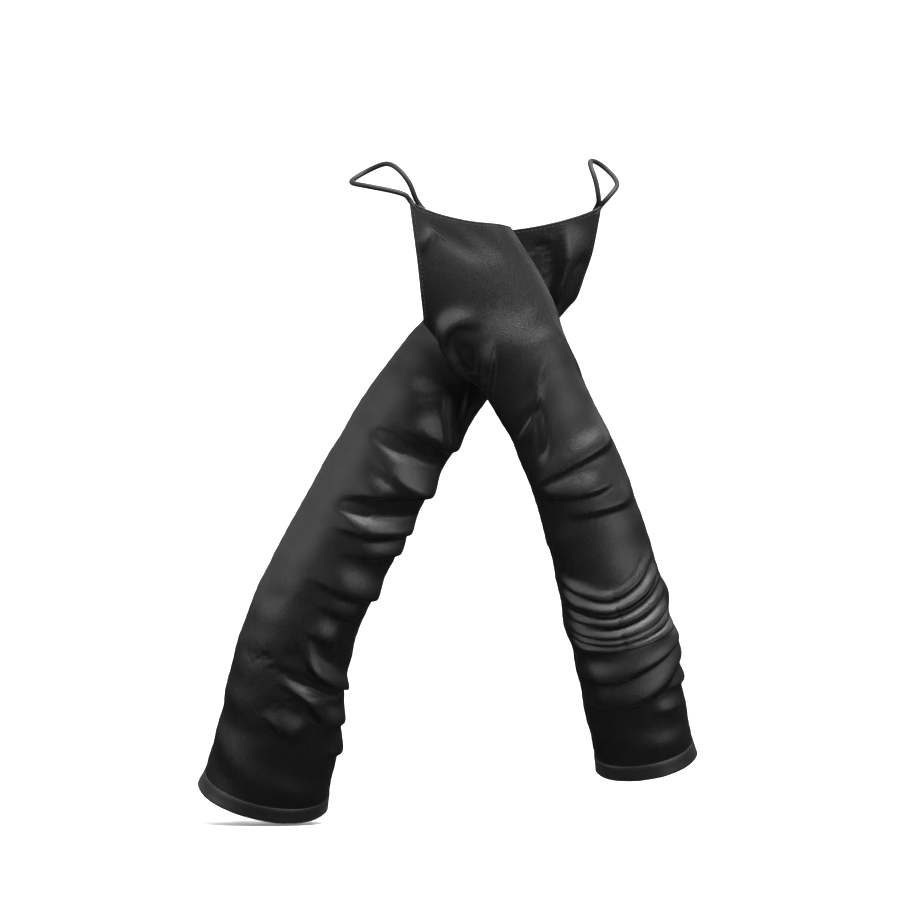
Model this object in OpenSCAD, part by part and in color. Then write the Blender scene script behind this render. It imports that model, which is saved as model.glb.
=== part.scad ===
// A pair of long fingerless satin gloves, crossed, in the shape they have when worn.
// Each glove is a sleeve of a back panel and a palm panel joined by two side seams. The back
// panel runs out to a point over the back of the hand, and a cord loop sewn to the point goes
// round the middle finger. The left glove is the one behind. The origin is the centre of its
// arm opening, +Z is up along the arms, and -Y is the side that shows the backs of the hands.

/* [Cloth] */
// Thickness of the satin wall
cloth_t = 1; // [0.8:0.1:1.4]
// Thickness of the cloth folded under at an edge or a seam
fold_t = 0.8; // [0.5:0.1:1.2]
// Thickness of a row of sewing thread on the cloth
thread_t = 0.4; // [0.3:0.1:0.6]
// Depth of the turned edge round the hand, along the hand
edge_w = 6; // [4:0.5:8]
// Half the width of a side seam's folded strip, in degrees round the sleeve
seam_half = 4; // [3:0.5:6]

/* [Arm openings] */
// Inner radius of the left glove's arm opening
left_mouth_r = 39; // [37:0.5:41]
// Inner radius of the right glove's arm opening
right_mouth_r = 30; // [28:0.5:32]
// Depth of each arm hem
hem_h = 10; // [8:1:12]
// How far the hem's rolled edge stands out from the sleeve
hem_roll = 1.6; // [1:0.1:2.4]

/* [Hand openings] */
// How hollow the edge on the little finger's side is, 1 being straight
edge_curve = 0.85; // [0.7:0.05:1]
// Half the width of the bar tack at the point, in degrees round the hand
tack_half = 4; // [3:0.5:5]

/* [Finger loops] */
// Diameter of the loop cord
loop_d = 3.4; // [2.8:0.1:3.6]

/* [Hidden] */

// Mesh fineness
sleeve_rows = 36;
side_steps = 5;
loop_sides = 8;
loop_steps = 3;
hem_fn = 96;

// Where the row of stitches lies, from the edge, along the hand
stitch_low = 3.6;
stitch_high = 2.6;
// Depth of the bar tack along the hand
tack_h = 3.6;
// Height and thickness of the hem's ring of stitches
hem_stitch_h = 1;
hem_stitch_gap = 1.2;

satin = "#1b1a1c";
hem_black = "#252427";
thread = "#323135";
cord = "#141316";

// Each glove: centre of its arm opening, the lean of its arm end in degrees towards the
// viewer and to the side, the opening's inner radius, and its sections. A section is its
// centre x, y, z, half its width, half its depth, and its turn about the sleeve in degrees.
left_sections = [
    [10, -16, 44, 38.5, 36, 0],
    [17, -28, 84, 36.5, 33, 0],
    [30, -38, 124, 34.5, 31, 0],
    [52, -46, 166, 34, 29.5, 0],
    [75, -52, 208, 33.5, 28, 0],
    [100, -56, 249, 33, 26, 2],
    [127, -59, 285, 31.5, 22.5, 6],
    [153, -61, 318, 36, 19.5, 14],
    [178, -63, 351, 40, 17.5, 22],
    [201, -65, 383, 41, 15, 24]
];
right_sections = [
    [234, -68, 63, 31.5, 31, 0],
    [227, -79, 100, 32, 31, 0],
    [219, -87, 134, 32, 30, 0],
    [209, -93, 171, 30.5, 28, 0],
    [196, -98, 209, 29.5, 25.5, 0],
    [180, -102, 243, 28.5, 23, 0],
    [164, -105, 274, 31, 21, 0],
    [147, -107, 303, 37, 19.5, 0],
    [122, -108, 338, 40, 18, 0],
    [93, -109, 376, 41, 15, 0]
];

// The palm's edge crosses the sleeve at this section number on the thumb's side
palm_section = 8.55;
// Where the palm's edge ends on the little finger's side, as a share of the point's length
left_outer_share = 0;
right_outer_share = 0.26;
// Where the point lies round the hand, in degrees from the sleeve's +X side
left_point_angle = 75;
right_point_angle = 90;

left_mouth = [0, 0, 0];
left_lean = [21, 12];
right_mouth = [242, -54.5, 24.5];
right_lean = [20, -10];

// Routes of the loop cords, from the point round the middle finger and back
left_loop_route = [
    [212, -75, 377], [211, -76, 383], [210, -76, 390], [207, -75, 397],
    [206, -69, 402], [208, -62, 403], [213, -57, 401], [219, -56, 396],
    [223, -60, 391], [224, -67, 387], [222, -73, 384], [216, -75, 377]
];
right_loop_route = [
    [96, -124, 379], [94, -125, 385], [90, -125, 391], [85, -122, 396],
    [80, -115, 399], [75, -108, 398], [68, -105, 395], [61, -107, 391],
    [57, -112, 388], [57, -118, 386], [63, -122, 385], [73, -124, 383],
    [83, -124, 381], [91, -124, 379]
];
// Directions of the middle fingers that the loops go round
left_finger = [0.6, -0.1, 0.8];
right_finger = [-0.5, -0.1, 0.86];

function unit(v) = v / norm(v);
function mix(low, high, share) = low + (high - low) * share;
function arm_axis(lean) = [sin(lean[1]) * cos(lean[0]), -sin(lean[0]), cos(lean[1]) * cos(lean[0])];
function place(section) = [section[0], section[1], section[2]];

// Smooth curve through four neighbours, and its slope, at a share f between the middle two
function curve(p, f) =
    0.5 * (2 * p[1] + (p[2] - p[0]) * f + (2 * p[0] - 5 * p[1] + 4 * p[2] - p[3]) * f * f
    + (3 * p[1] - p[0] - 3 * p[2] + p[3]) * f * f * f);
function slope(p, f) =
    0.5 * ((p[2] - p[0]) + 2 * (2 * p[0] - 5 * p[1] + 4 * p[2] - p[3]) * f
    + 3 * (3 * p[1] - p[0] - 3 * p[2] + p[3]) * f * f);

// A glove's whole row of sections: one before the arm end, the arm end, the list, one after
function spine(mouth, lean, mouth_r, sections) =
    let (
        axis = arm_axis(lean),
        arm_r = mouth_r + cloth_t,
        first = concat(mouth + hem_h * axis, [arm_r, arm_r, 0]),
        reach = 2 * norm(place(sections[0]) - place(first)),
        before = concat(place(sections[0]) - reach * axis, [arm_r, arm_r, 0]),
        count = len(sections)
    )
    concat([before, first], sections, [2 * sections[count - 1] - sections[count - 2]]);

left_spine = spine(left_mouth, left_lean, left_mouth_r, left_sections);
right_spine = spine(right_mouth, right_lean, right_mouth_r, right_sections);
// [spine, angle of the thumb's side, point's angle, outer share]
left_glove = [left_spine, 0, left_point_angle, left_outer_share];
right_glove = [right_spine, 180, right_point_angle, right_outer_share];

function span_at(glove, t) = min(floor(t), len(glove[0]) - 4);
function near(glove, t) = [for (k = [0:3]) glove[0][span_at(glove, t) + k]];
function section_at(glove, t) = curve(near(glove, t), t - span_at(glove, t));
function along_at(glove, t) = unit(place(slope(near(glove, t), t - span_at(glove, t))));

// A point on the sleeve: t along the sections, angle round them, and how far outside the wall
function skin(glove, t, angle, out) =
    let (
        s = section_at(glove, t),
        along = along_at(glove, t),
        front = unit([0, -1, 0] + along[1] * along),
        side = cross(along, front),
        turned_side = side * cos(s[5]) - front * sin(s[5]),
        turned_front = front * cos(s[5]) + side * sin(s[5])
    )
    place(s) + (s[3] + out) * cos(angle) * turned_side + (s[4] + out) * sin(angle) * turned_front;

// The angle counted so that the thumb's side is always at 180
function hand_angle(glove, angle) = glove[1] == 180 ? angle : 180 - angle;
// Height of the hand opening's edge, from 0 on the thumb's side to 1 at the point
function edge_share(glove, angle) =
    let (
        across = cos(hand_angle(glove, angle)),
        point = cos(hand_angle(glove, glove[2]))
    )
    angle > 180 ? glove[3] * (1 + across) / 2
    : across < point ? 1 - (point - across) / (point + 1)
    : 1 - (1 - glove[3]) * pow((across - point) / (1 - point), edge_curve);
function last_section(glove) = len(glove[0]) - 3;
function edge_t(glove, angle) =
    mix(palm_section, last_section(glove), edge_share(glove, angle));
// One millimetre along the hand, in sections
function hand_mm(glove) =
    1 / norm(place(section_at(glove, last_section(glove)))
    - place(section_at(glove, last_section(glove) - 1)));

// Rows of the sleeve at one angle: even ones up to the turned edge, then those of the edge
function sleeve_t(glove, angle) =
    let (end = edge_t(glove, angle) - edge_w * hand_mm(glove))
    [for (i = [0:sleeve_rows]) end * i / sleeve_rows];
function hand_edge_t(glove, angle) =
    [for (d = [edge_w, stitch_low, stitch_high, 0]) edge_t(glove, angle) - d * hand_mm(glove)];
function whole_t(glove, angle) =
    concat(sleeve_t(glove, angle), [for (k = [1:3]) hand_edge_t(glove, angle)[k]]);

function back_angles(glove) =
    concat(
        [0],
        [for (i = [0:side_steps]) mix(seam_half, glove[2] - tack_half, i / side_steps)],
        [glove[2]],
        [for (i = [0:side_steps]) mix(glove[2] + tack_half, 180 - seam_half, i / side_steps)],
        [180]
    );
function palm_angles() =
    concat(
        [180],
        [for (i = [0:2 * side_steps]) mix(180 + seam_half, 360 - seam_half, i / (2 * side_steps))],
        [360]
    );

// A closed layer of cloth over a grid of angles and rows, between two distances from the wall
module layer(glove, angles, rows, out, inside) {
    across = len(angles);
    high = len(rows[0]);
    count = across * high;
    outer = [for (i = [0:across - 1], j = [0:high - 1]) skin(glove, rows[i][j], angles[i], out)];
    inner = [for (i = [0:across - 1], j = [0:high - 1]) skin(glove, rows[i][j], angles[i], inside)];
    outer_faces = [for (i = [0:across - 2], j = [0:high - 2]) for (half = [0:1])
        let (a = i * high + j, b = a + 1, c = a + high, d = c + 1)
        half == 0 ? [a, b, c] : [b, d, c]];
    inner_faces = [for (f = outer_faces) [f[2] + count, f[1] + count, f[0] + count]];
    first_row = [for (i = [0:across - 2]) for (half = [0:1])
        let (a = i * high, c = a + high)
        half == 0 ? [a, c, a + count] : [c, c + count, a + count]];
    last_row = [for (i = [0:across - 2]) for (half = [0:1])
        let (a = i * high + high - 1, c = a + high)
        half == 0 ? [c, a, a + count] : [c, a + count, c + count]];
    first_side = [for (j = [0:high - 2]) for (half = [0:1])
        let (b = j + 1)
        half == 0 ? [b, j, j + count] : [b, j + count, b + count]];
    last_side = [for (j = [0:high - 2]) for (half = [0:1])
        let (a = (across - 1) * high + j, b = a + 1)
        half == 0 ? [a, b, a + count] : [b, b + count, a + count]];
    polyhedron(
        points = concat(outer, inner),
        faces = concat(outer_faces, inner_faces, first_row, last_row, first_side, last_side),
        convexity = 10
    );
}

module back_panel(glove) {
    angles = back_angles(glove);
    color(satin)
        layer(glove, angles, [for (a = angles) whole_t(glove, a)], 0, -cloth_t);
}

module palm_panel(glove) {
    angles = palm_angles();
    color(satin)
        layer(glove, angles, [for (a = angles) whole_t(glove, a)], 0, -cloth_t);
}

// The seam's folded strip lies inside, over the line where the two panels meet
module side_seam(glove, middle) {
    angles = [middle - seam_half, middle, middle + seam_half];
    color(satin)
        layer(glove, angles, [for (a = angles) sleeve_t(glove, (a + 360) % 360)],
            -cloth_t, -cloth_t - fold_t);
}

// The cloth turned under along the hand opening
module turned_edge(glove, angles) {
    color(hem_black)
        layer(glove, angles, [for (a = angles) hand_edge_t(glove, a)],
            -cloth_t, -cloth_t - fold_t);
}

// The raised row of thread along the hand opening
module edge_stitching(glove, angles) {
    color(thread)
        layer(glove, angles,
            [for (a = angles) [hand_edge_t(glove, a)[1], hand_edge_t(glove, a)[2]]],
            thread_t, 0);
}

// The bar tack sits on the turned edge, inside the point, over the loop's sewn ends
module bar_tack(glove) {
    angles = [glove[2] - tack_half, glove[2], glove[2] + tack_half];
    color(thread)
        layer(glove, angles,
            [for (a = angles) [hand_edge_t(glove, a)[1], hand_edge_t(glove, a)[2]]],
            -cloth_t - fold_t, -cloth_t - fold_t - thread_t);
}

module at_arm_end(mouth, lean) {
    translate(mouth) rotate([lean[0], lean[1], 0]) children();
}

// The folded hem: a round band with a rolled lower edge
module arm_hem(mouth, lean, mouth_r) {
    color(hem_black)
        at_arm_end(mouth, lean)
            rotate_extrude($fn = hem_fn)
                polygon([
                    [mouth_r, 0],
                    [mouth_r + hem_roll, 0.6],
                    [mouth_r + hem_roll + 0.4, 2],
                    [mouth_r + hem_roll, 4.5],
                    [mouth_r + cloth_t, hem_h - 2.6],
                    [mouth_r + cloth_t, hem_h],
                    [mouth_r, hem_h]
                ]);
}

module hem_stitching(mouth, lean, mouth_r) {
    color(thread)
        at_arm_end(mouth, lean)
            translate([0, 0, hem_h - hem_stitch_gap - hem_stitch_h])
                difference() {
                    cylinder(h = hem_stitch_h, r = mouth_r + cloth_t + thread_t, $fn = hem_fn);
                    translate([0, 0, -1])
                        cylinder(h = hem_stitch_h + 2, r = mouth_r + cloth_t, $fn = hem_fn);
                }
}

// A round cord swept along its route
module finger_loop(route, finger) {
    last = len(route) - 1;
    ends = concat([2 * route[0] - route[1]], route, [2 * route[last] - route[last - 1]]);
    spots = concat([for (i = [0:last - 1], k = [0:loop_steps - 1]) [i, k / loop_steps]],
        [[last - 1, 1]]);
    rings = [for (spot = spots)
        let (
            p = [for (k = [0:3]) ends[spot[0] + k]],
            middle = curve(p, spot[1]),
            along = unit(slope(p, spot[1])),
            side = unit(cross(along, finger)),
            other = cross(along, side)
        )
        [for (k = [0:loop_sides - 1])
            middle + loop_d / 2 * (cos(360 * k / loop_sides) * side + sin(360 * k / loop_sides) * other)]];
    count = len(rings);
    walls = [for (i = [0:count - 2], k = [0:loop_sides - 1]) for (half = [0:1])
        let (
            a = i * loop_sides + k,
            b = i * loop_sides + (k + 1) % loop_sides,
            c = a + loop_sides,
            d = b + loop_sides
        )
        half == 0 ? [a, c, b] : [b, c, d]];
    first_cap = [for (k = [0:loop_sides - 1]) k];
    last_cap = [for (k = [0:loop_sides - 1]) count * loop_sides - 1 - k];
    color(cord)
        polyhedron(
            points = [for (ring = rings) for (p = ring) p],
            faces = concat(walls, [first_cap, last_cap]),
            convexity = 6
        );
}

back_panel(left_glove);  // left_back_panel
palm_panel(left_glove);  // left_palm_panel
side_seam(left_glove, 0);  // left_thumb_seam
side_seam(left_glove, 180);  // left_outer_seam
arm_hem(left_mouth, left_lean, left_mouth_r);  // left_arm_hem
hem_stitching(left_mouth, left_lean, left_mouth_r);  // left_hem_stitching
turned_edge(left_glove, back_angles(left_glove));  // left_back_edge
turned_edge(left_glove, palm_angles());  // left_palm_edge
edge_stitching(left_glove, back_angles(left_glove));  // left_back_stitching
edge_stitching(left_glove, palm_angles());  // left_palm_stitching
bar_tack(left_glove);  // left_bar_tack
finger_loop(left_loop_route, left_finger);  // left_finger_loop
back_panel(right_glove);  // right_back_panel
palm_panel(right_glove);  // right_palm_panel
side_seam(right_glove, 180);  // right_thumb_seam
side_seam(right_glove, 0);  // right_outer_seam
arm_hem(right_mouth, right_lean, right_mouth_r);  // right_arm_hem
hem_stitching(right_mouth, right_lean, right_mouth_r);  // right_hem_stitching
turned_edge(right_glove, back_angles(right_glove));  // right_back_edge
turned_edge(right_glove, palm_angles());  // right_palm_edge
edge_stitching(right_glove, back_angles(right_glove));  // right_back_stitching
edge_stitching(right_glove, palm_angles());  // right_palm_stitching
bar_tack(right_glove);  // right_bar_tack
finger_loop(right_loop_route, right_finger);  // right_finger_loop
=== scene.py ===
"""A pair of long fingerless black satin gloves, crossed, in the shape they have when worn.

Each sleeve starts as a tube round the arm with its listed main folds raised, cut a little longer
than it lies, and a cloth simulation settles it over the arm. The panels, hems, turned edges, seams
and stitches are then built on the settled surface.
"""
import math

import bpy
import numpy as np
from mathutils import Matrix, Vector


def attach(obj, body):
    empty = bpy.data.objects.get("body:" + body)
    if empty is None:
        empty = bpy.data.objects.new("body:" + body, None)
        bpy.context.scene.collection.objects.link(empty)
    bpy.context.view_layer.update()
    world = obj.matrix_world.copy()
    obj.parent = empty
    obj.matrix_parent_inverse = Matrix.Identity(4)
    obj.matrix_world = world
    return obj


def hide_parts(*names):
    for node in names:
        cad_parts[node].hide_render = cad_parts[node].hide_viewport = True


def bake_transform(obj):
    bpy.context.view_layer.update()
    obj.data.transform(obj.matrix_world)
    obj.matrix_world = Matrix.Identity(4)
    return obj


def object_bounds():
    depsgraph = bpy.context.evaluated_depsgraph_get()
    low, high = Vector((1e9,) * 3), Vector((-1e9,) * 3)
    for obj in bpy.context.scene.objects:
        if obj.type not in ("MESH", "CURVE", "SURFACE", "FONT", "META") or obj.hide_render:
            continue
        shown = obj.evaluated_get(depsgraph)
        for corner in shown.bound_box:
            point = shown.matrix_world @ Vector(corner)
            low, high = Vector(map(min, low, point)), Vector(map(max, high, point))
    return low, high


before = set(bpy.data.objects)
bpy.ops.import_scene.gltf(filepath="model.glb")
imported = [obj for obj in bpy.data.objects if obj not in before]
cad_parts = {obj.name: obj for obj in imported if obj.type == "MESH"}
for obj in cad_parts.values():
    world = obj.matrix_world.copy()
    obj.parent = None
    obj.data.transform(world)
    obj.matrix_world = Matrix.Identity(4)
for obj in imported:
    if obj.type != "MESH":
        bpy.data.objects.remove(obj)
cad_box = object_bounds()

MM = 0.001

# --------------------------------------------------
# The sleeves' shape, in millimetres, as in the part's source
# --------------------------------------------------
CLOTH = 1.0
HEM_DEPTH = 10.0
PALM_SECTION = 8.55     # the section number that the palm's edge reaches

# Each glove: the centre, the lean (back and sideways, in degrees) and the radius of its arm end; the
# angles of its thumb side and its point; how far up the hand its outer side reaches, and how the edge
# curves on the way; how far and to which side its hem flares. Each section is its centre, half width,
# half depth and turn. The loop's route is the one in the part's source.
GLOVES = {
    "left": {
        "mouth": (0, 0, 0), "lean": (21, 12), "mouth_r": 39.0,
        "thumb_angle": 0, "point_angle": 75, "outer_share": 0.0, "edge_curve": 0.85,
        "flare": 2.2, "flare_angle": 180,
        "sections": [
            (10, -16, 44, 38.5, 36, 0), (17, -28, 84, 36.5, 33, 0), (30, -38, 124, 34.5, 31, 0),
            (52, -46, 166, 34, 29.5, 0), (75, -52, 208, 33.5, 28, 0), (100, -56, 249, 33, 26, 2),
            (127, -59, 285, 31.5, 22.5, 6), (153, -61, 318, 36, 19.5, 14),
            (178, -63, 351, 40, 17.5, 22), (201, -65, 383, 41, 15, 24),
        ],
        "loop_route": [
            (212, -75, 377), (211, -76, 383), (210, -76, 390), (207, -75, 397), (206, -69, 402),
            (208, -62, 403), (213, -57, 401), (219, -56, 396), (223, -60, 391), (224, -67, 387),
            (222, -73, 384), (216, -75, 377),
        ],
    },
    "right": {
        "mouth": (242, -54.5, 24.5), "lean": (20, -10), "mouth_r": 30.0,
        "thumb_angle": 180, "point_angle": 90, "outer_share": 0.26, "edge_curve": 0.7,
        "flare": 0.6, "flare_angle": 0,
        "sections": [
            (234, -68, 63, 31.5, 31, 0), (227, -79, 100, 32, 31, 0), (219, -87, 134, 32, 30, 0),
            (209, -93, 171, 30.5, 28, 0), (196, -98, 209, 29.5, 25.5, 0),
            (180, -102, 243, 28.5, 23, 0), (164, -105, 274, 31, 21, 0),
            (147, -107, 303, 37, 19.5, 0), (122, -108, 338, 40, 18, 0), (93, -109, 376, 41, 15, 0),
        ],
        "loop_route": [
            (96, -124, 379), (94, -125, 385), (90, -125, 391), (85, -122, 396), (80, -115, 399),
            (75, -108, 398), (68, -105, 395), (61, -107, 391), (57, -112, 388), (57, -118, 386),
            (63, -122, 385), (73, -124, 383), (83, -124, 381), (91, -124, 379),
        ],
    },
}

# Listed folds to start the cloth with: height and half width in millimetres, then the points that the crest
# runs through, as (section number from the arm end, degrees round from the sleeve's +X side).
# A negative height is a crease.
FOLDS = {
    "right": [
        (2.0, 16.0, [(7.9, 140), (7.55, 108), (7.2, 74), (6.9, 30), (6.85, 10)]),
        (3.0, 4.0, [(1.85, 160), (1.7, 116), (1.85, 64), (2.05, 15), (2.1, -15)]),
        (2.4, 4.5, [(1.3, 165), (1.3, 102), (1.42, 63), (1.8, 10), (1.9, -20)]),
        (1.8, 3.5, [(1.33, 57), (1.33, 2), (1.4, -30)]),
        (1.2, 3.0, [(1.0, 76), (0.95, 20)]),
        (1.7, 5.0, [(4.95, 150), (5.12, 129), (5.25, 34), (5.3, 0)]),
        (2.2, 5.0, [(4.9, 160), (4.9, 144), (4.72, 90), (4.7, 38)]),
        (1.8, 5.0, [(4.5, 130), (4.45, 116), (4.38, 42), (4.5, 10)]),
        (-1.8, 4.0, [(6.35, 85), (6.1, 130), (5.9, 170)]),
        (-1.8, 4.0, [(6.35, 94), (5.8, 110), (5.3, 130)]),
        (2.0, 3.0, [(7.8, 104), (7.62, 109), (7.2, 127), (6.76, 157), (6.5, 172)]),
        (0.9, 3.2, [(7.1, 56), (6.68, 82), (6.3, 99), (6.06, 124), (5.9, 150)]),
        (1.0, 4.0, [(7.6, 36), (6.8, 22), (6.1, 5)]),
        (3.4, 3.4, [(7.95, 104), (8.2, 116), (8.3, 130), (8.22, 146), (7.95, 162), (7.4, 176),
                    (6.9, 184)]),
        (-4.0, 6.0, [(7.95, 130), (7.7, 148), (7.3, 166)]),
        (1.0, 11.0, [(8.3, 36), (8.8, 36), (9.6, 34), (10.4, 32)]),
        (-0.5, 5.0, [(9.7, 92), (9.2, 80), (8.65, 66)]),
        (-0.4, 5.0, [(9.5, 68), (9.0, 58), (8.45, 46)]),
        (0.8, 2.2, [(9.36, 112), (9.42, 100), (9.5, 86)]),
        (1.0, 13.0, [(2.9, 165), (2.6, 180), (2.2, 200)]),
        (1.3, 9.0, [(2.9, -25), (2.7, 0), (2.5, 20)]),
        (1.4, 4.0, [(3.9, 165), (4.05, 200), (4.1, 250), (3.9, 300)]),
        (1.5, 4.5, [(5.4, 180), (5.2, 240), (5.3, 300), (5.5, 335)]),
        (1.3, 4.0, [(6.6, 195), (6.4, 255), (6.7, 330)]),
        (1.6, 4.0, [(1.2, 190), (1.3, 250), (1.5, 300), (1.7, 345)]),
        (1.2, 4.5, [(0.8, 205), (0.75, 270), (0.9, 335)]),
        (1.3, 5.0, [(7.6, 205), (7.4, 260), (7.5, 330)]),
    ],
    "left": [
        (1.7, 3.6, [(6.5, 84), (6.2, 66), (5.9, 47), (5.72, 34), (5.65, 10)]),
        (1.6, 3.2, [(6.7, 60), (6.4, 48), (6.1, 38), (5.85, 26)]),
        (0.7, 14.0, [(6.3, 120), (6.0, 100), (5.8, 84)]),
        (-2.0, 4.0, [(5.45, 134), (5.42, 90), (5.45, 50), (5.5, 10)]),
        (1.8, 5.0, [(5.7, 110), (5.75, 60), (5.8, 10), (5.8, -20)]),
        (2.0, 5.0, [(5.2, 110), (5.1, 80), (5.1, 40), (5.2, 0)]),
        (2.4, 4.5, [(4.55, 112), (4.8, 80), (5.0, 50), (5.1, 20), (5.1, -20)]),
        (-2.2, 4.0, [(4.4, 126), (4.5, 80), (4.65, 40), (4.75, 0)]),
        (2.2, 4.5, [(4.15, 110), (4.3, 70), (4.5, 24), (4.5, -20)]),
        (2.2, 4.5, [(3.9, 92), (4.05, 55), (4.2, 20), (4.2, -20)]),
        (2.4, 5.0, [(3.45, 104), (3.5, 60), (3.55, 20), (3.5, -20)]),
        (1.8, 4.5, [(3.2, 90), (3.2, 50), (3.25, 10)]),
        (2.3, 3.2, [(2.7, 88), (2.55, 80), (2.25, 64), (2.05, 36), (1.9, 0), (1.9, -25)]),
        (-2.0, 3.5, [(2.15, 110), (2.0, 70), (1.85, 30), (1.8, 0)]),
        (2.2, 3.6, [(2.0, 102), (1.8, 68), (1.45, 45), (1.35, 10), (1.4, -20)]),
        (1.5, 4.0, [(2.8, 86), (2.75, 60), (2.72, 40)]),
        (1.5, 5.0, [(1.5, 108), (1.3, 86), (1.1, 62)]),
        (1.8, 5.0, [(1.0, 40), (0.9, 10), (0.9, -30)]),
        (2.4, 4.6, [(9.5, 96), (9.12, 80), (8.76, 67), (8.36, 57), (8.1, 48)]),
        (-2.2, 6.0, [(9.3, 66), (8.8, 46), (8.2, 20)]),
        (-1.4, 6.0, [(9.1, 104), (8.7, 90), (8.3, 80)]),
        (1.2, 4.5, [(3.7, 325), (3.6, 265), (3.8, 205)]),
        (1.1, 4.0, [(4.7, 340), (4.6, 280), (4.75, 200)]),
        (1.2, 4.5, [(5.6, 330), (5.4, 280), (5.5, 215)]),
        (1.1, 4.0, [(2.5, 335), (2.4, 270), (2.6, 200)]),
        (1.2, 4.5, [(1.6, 330), (1.4, 260), (1.5, 205)]),
        (1.1, 5.0, [(6.9, 325), (6.7, 270), (6.85, 210)]),
    ],
}

# The nested folds at the right glove's elbow: the crests of the first and the last of them, how many
# there are, how high the first is and how much higher the last, how wide each is, and how much and
# how fast their places and heights vary from one fold to the next
ELBOW_FIRST = [(3.5, 166), (3.2, 126), (3.03, 96), (3.12, 66), (3.38, 36), (3.5, 10)]
ELBOW_LAST = [(2.3, 172), (2.22, 130), (2.16, 100), (2.16, 66), (2.2, 30), (2.25, 0)]
ELBOW_FOLDS = 7
ELBOW_HEIGHT = 3.0
ELBOW_GROWTH = 1.8
ELBOW_WIDTH = 2.0
PLACE_VARIES, PLACE_BEAT = 0.22, 1.9
HEIGHT_VARIES, HEIGHT_BEAT = 0.5, 2.4


def unit(v):
    """Vectors brought to length 1."""
    return v / np.linalg.norm(v, axis=-1, keepdims=True)


def spine(glove):
    """The glove's sections, with one before the arm end, the arm end itself, and one after."""
    tilt, side = (math.radians(a) for a in glove["lean"])
    axis = np.array([math.sin(side) * math.cos(tilt), -math.sin(tilt), math.cos(side) * math.cos(tilt)])
    sections = [np.array(s, float) for s in glove["sections"]]
    arm_r = glove["mouth_r"] + CLOTH
    first = np.append(np.array(glove["mouth"]) + HEM_DEPTH * axis, [arm_r, arm_r, 0])
    reach = 2 * np.linalg.norm(sections[0][:3] - first[:3])
    before = np.append(sections[0][:3] - reach * axis, [arm_r, arm_r, 0])
    return np.array([before, first, *sections, 2 * sections[-1] - sections[-2]]), axis


def skin(glove, t, angle, out=0.0):
    """Points on the sleeve: t along the sections, angle round them in degrees, out in millimetres."""
    sections, _ = glove["spine"]
    t, angle, out = np.broadcast_arrays(np.asarray(t, float), np.asarray(angle, float), out)
    i = np.clip(t.astype(int), 0, len(sections) - 4)
    f = (t - i)[..., None]
    p0, p1, p2, p3 = (sections[i + k] for k in range(4))
    bend = 2 * p0 - 5 * p1 + 4 * p2 - p3
    twist = 3 * p1 - p0 - 3 * p2 + p3
    s = 0.5 * (2 * p1 + (p2 - p0) * f + bend * f ** 2 + twist * f ** 3)
    along = unit((0.5 * ((p2 - p0) + 2 * bend * f + 3 * twist * f ** 2))[..., :3])
    front = unit(np.array([0, -1.0, 0]) + along[..., 1:2] * along)
    side = np.cross(along, front)
    turn = np.radians(s[..., 5:6])
    turned_side = side * np.cos(turn) - front * np.sin(turn)
    turned_front = front * np.cos(turn) + side * np.sin(turn)
    round_by = np.radians(angle)[..., None]
    out = out[..., None]
    return (s[..., :3] + (s[..., 3:4] + out) * np.cos(round_by) * turned_side
            + (s[..., 4:5] + out) * np.sin(round_by) * turned_front)


def edge_t(glove, angle):
    """The section number of the hand opening's edge at each angle."""
    last = len(glove["spine"][0]) - 3
    mirrored = glove["thumb_angle"] == 0
    across = np.cos(np.radians(180 - angle if mirrored else angle))
    point = math.cos(math.radians(180 - glove["point_angle"] if mirrored else glove["point_angle"]))
    palm = glove["outer_share"] * (1 + across) / 2
    thumb = 1 - (point - across) / (point + 1)
    fall = np.clip((across - point) / (1 - point), 0, None) ** glove["edge_curve"]
    outer = 1 - (1 - glove["outer_share"]) * fall
    share = np.where(angle > 180, palm, np.where(across < point, thumb, outer))
    return PALM_SECTION + (last - PALM_SECTION) * share


def grid_places(glove, rows, columns):
    """Section numbers and angles of an even grid over the sleeve, one column for each angle."""
    angles = np.arange(columns) * 360.0 / columns
    share = np.linspace(0, 1, rows)[:, None]
    return share * edge_t(glove, angles)[None, :], np.broadcast_to(angles, (rows, columns))


def smooth_line(points, steps=8):
    """A curve through a few points, closely sampled."""
    p = np.array([points[0], *points, points[-1]], float)
    line = []
    for i in range(1, len(p) - 2):
        for k in range(steps):
            f = k / steps
            line.append(0.5 * (2 * p[i] + (p[i + 1] - p[i - 1]) * f
                               + (2 * p[i - 1] - 5 * p[i] + 4 * p[i + 1] - p[i + 2]) * f ** 2
                               + (3 * p[i] - p[i - 1] - 3 * p[i + 1] + p[i + 2]) * f ** 3))
    return np.array([*line, p[-2]])


# --------------------------------------------------
# Folds
# --------------------------------------------------
FLAT_RADIUS = 33.0      # turns degrees round the sleeve into millimetres of flat cloth
FOLD_TAPER = 26.0       # a fold fades out over this much of each end,
SHORT_TAPER = 2.4       # or over its length divided by this, where that is shorter
BROAD = 8.0             # a narrower ridge than this droops:
STEEP_SIDE = 0.6        # its lower side is this many times its half width across,
SOFT_SIDE = 1.75        # its upper side this many times,
SLUMP = 0.45            # and its crest slides down by this share of its height
FOLD_RISE = {"left": 2.0, "right": 1.6}     # how many times higher than listed the folds start
DEEPEST = 1.3           # no crease goes further into the arm than this
SEED = 11
WAVES = 14
WAVE_TURNS = 3
WAVE_LENGTHS = (14, 45)
WAVE_HEIGHTS = (0.3, 1.0)
UNEVEN = 0.7
HAND_CALM = 0.9         # the share of the waves left out over the hand
HAND_PLACE = 7.5        # the section number past which the cloth is the hand's
START_OUT = 0.3         # how far out from the sections the cloth starts


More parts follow.
